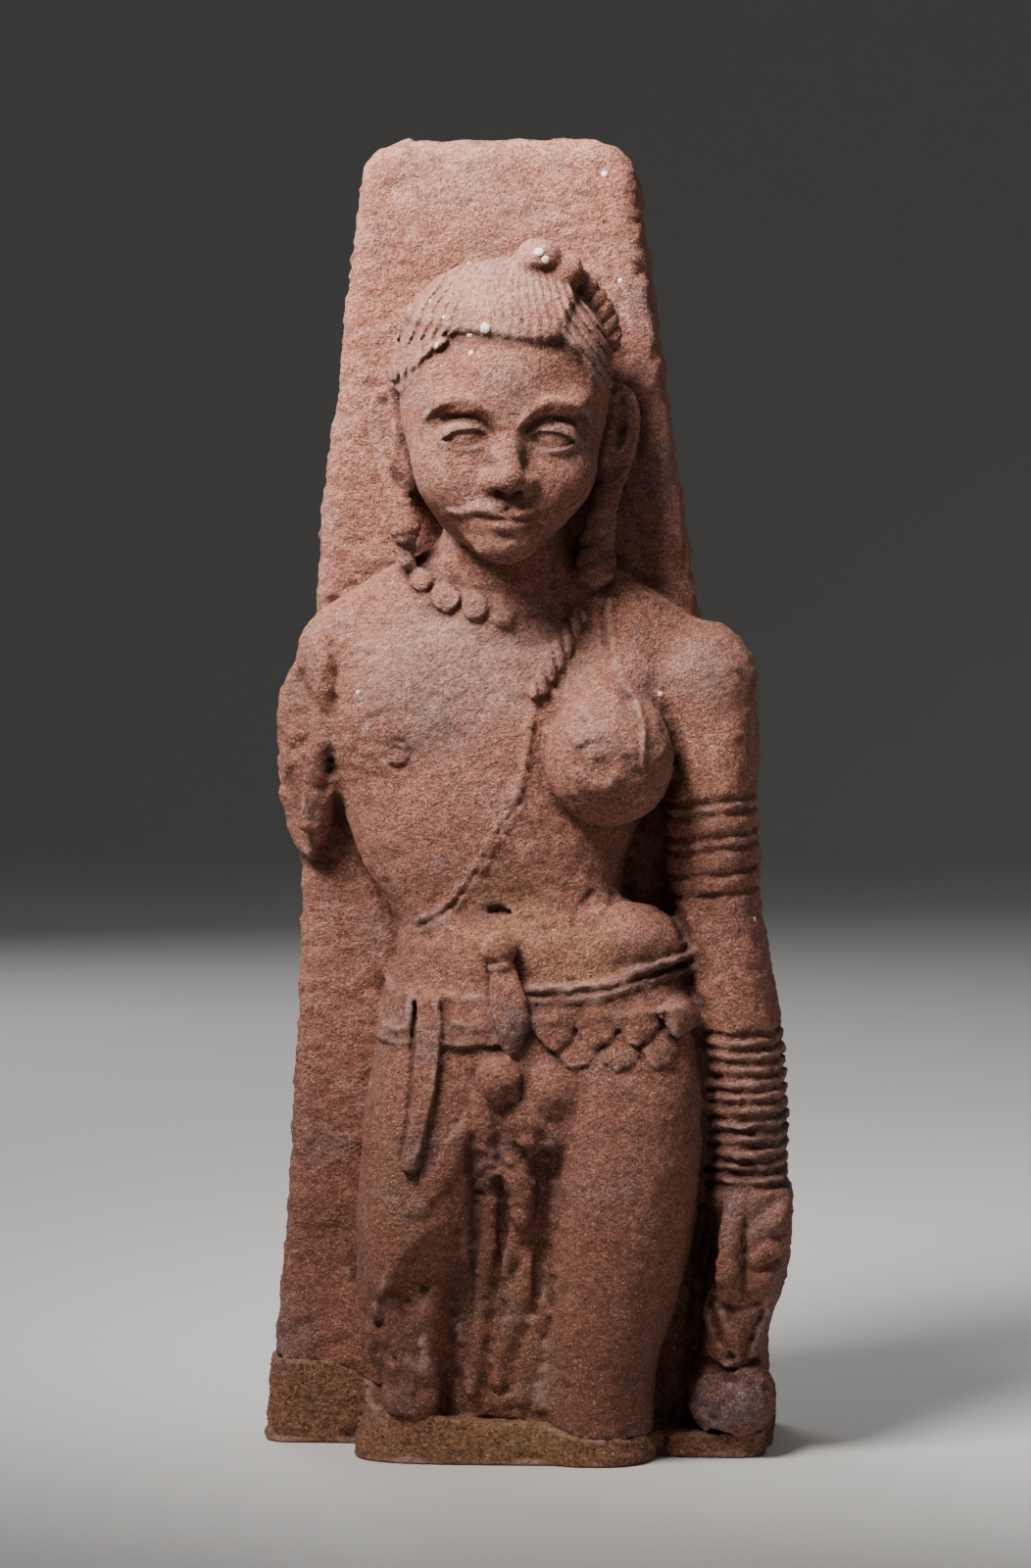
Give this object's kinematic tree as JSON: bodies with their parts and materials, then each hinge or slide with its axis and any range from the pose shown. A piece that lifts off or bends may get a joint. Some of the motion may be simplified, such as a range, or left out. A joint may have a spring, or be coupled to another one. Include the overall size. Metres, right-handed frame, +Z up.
{
  "type": "ardhanarishvara figure",
  "caption": "Broken high-relief stone figure, half male and half female, standing against a tapering backrest on a level mortar footing.",
  "frame": {"origin": "middle of the underside of the bounding box, on the surface that the piece stands on", "axes": "+Z up, -Y is the way the figure faces, +X to the viewer's right, which is the figure's own left"},
  "size_m": [0.2034, 0.1438, 0.5],
  "materials": {
    "red_sandstone": "matt pinkish brown sandstone with worn carving, tooled ground, grey purple patina on edges and dark stains in the breaks",
    "tinted_mortar": "rough sandy mortar tinted reddish ochre, with pale and dark grains"
  },
  "bodies": {
    "root": {"carved_stele": "red_sandstone", "mortar_footing": "tinted_mortar"}
  },
  "joints": []
}
